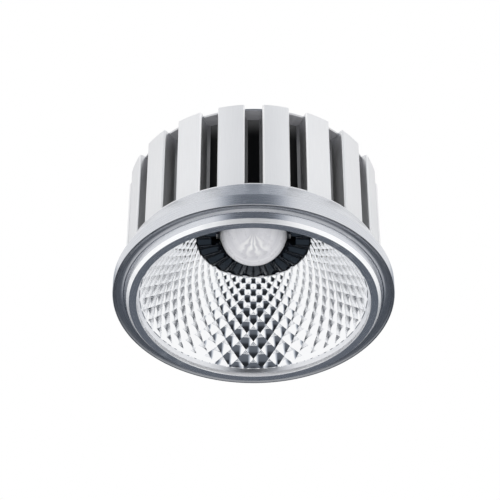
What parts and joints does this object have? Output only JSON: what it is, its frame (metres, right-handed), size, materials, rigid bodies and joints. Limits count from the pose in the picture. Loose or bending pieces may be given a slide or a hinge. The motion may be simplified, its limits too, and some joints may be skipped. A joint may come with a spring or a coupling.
{
  "type": "led module",
  "caption": "Round LED module with a finned aluminium heat sink, stepped bezel ring, faceted mirror reflector and a clear dome lens in a ribbed black holder, for a downlight frame.",
  "frame": {"origin": "on the module's axis, in the plane of the bezel's flat front face, on which it rests", "axes": "+Z along the axis from the light face to the rear cover, +X towards the side where the leads rise, -X towards the cable inlet"},
  "size_m": [0.05, 0.05, 0.0282],
  "materials": {
    "sink_aluminium": "satin, fine upright lines on the fins, turned flange",
    "bezel_aluminium": "turned and brushed in rings, bright chamfer",
    "reflector_mirror": "mirror-bright metallised facets",
    "holder_black": "semi-gloss moulding with radial ribs",
    "lens_clear": "clear, polished",
    "board_metal": "bright board with a white mask",
    "dam_white": "cast silicone",
    "emitter_cream": "pale phosphor in silicone, unlit",
    "pad_grey": "soft filled sheet",
    "contact_brass": "stamped strip",
    "screw_steel": "zinc-plated",
    "lead_red": "insulated wire",
    "lead_black": "insulated wire",
    "terminal_ivory": "moulded",
    "cover_aluminium": "brushed sheet",
    "grommet_rubber": "moulded rubber"
  },
  "bodies": {
    "root": {"heat_sink": "sink_aluminium", "bezel_ring": "bezel_aluminium", "reflector": "reflector_mirror", "lens_holder": "holder_black", "dome_lens": "lens_clear", "led_board": "board_metal", "led_dam": "dam_white", "led_emitter": "emitter_cream", "thermal_pad": "pad_grey", "holder_contacts": "contact_brass", "holder_screws": "screw_steel", "positive_lead": "lead_red", "negative_lead": "lead_black", "terminal_block": "terminal_ivory", "terminal_sleeves": "contact_brass", "clamp_screws": "screw_steel", "rear_cover": "cover_aluminium", "cover_screws": "screw_steel", "cable_grommet": "grommet_rubber"}
  },
  "joints": []
}
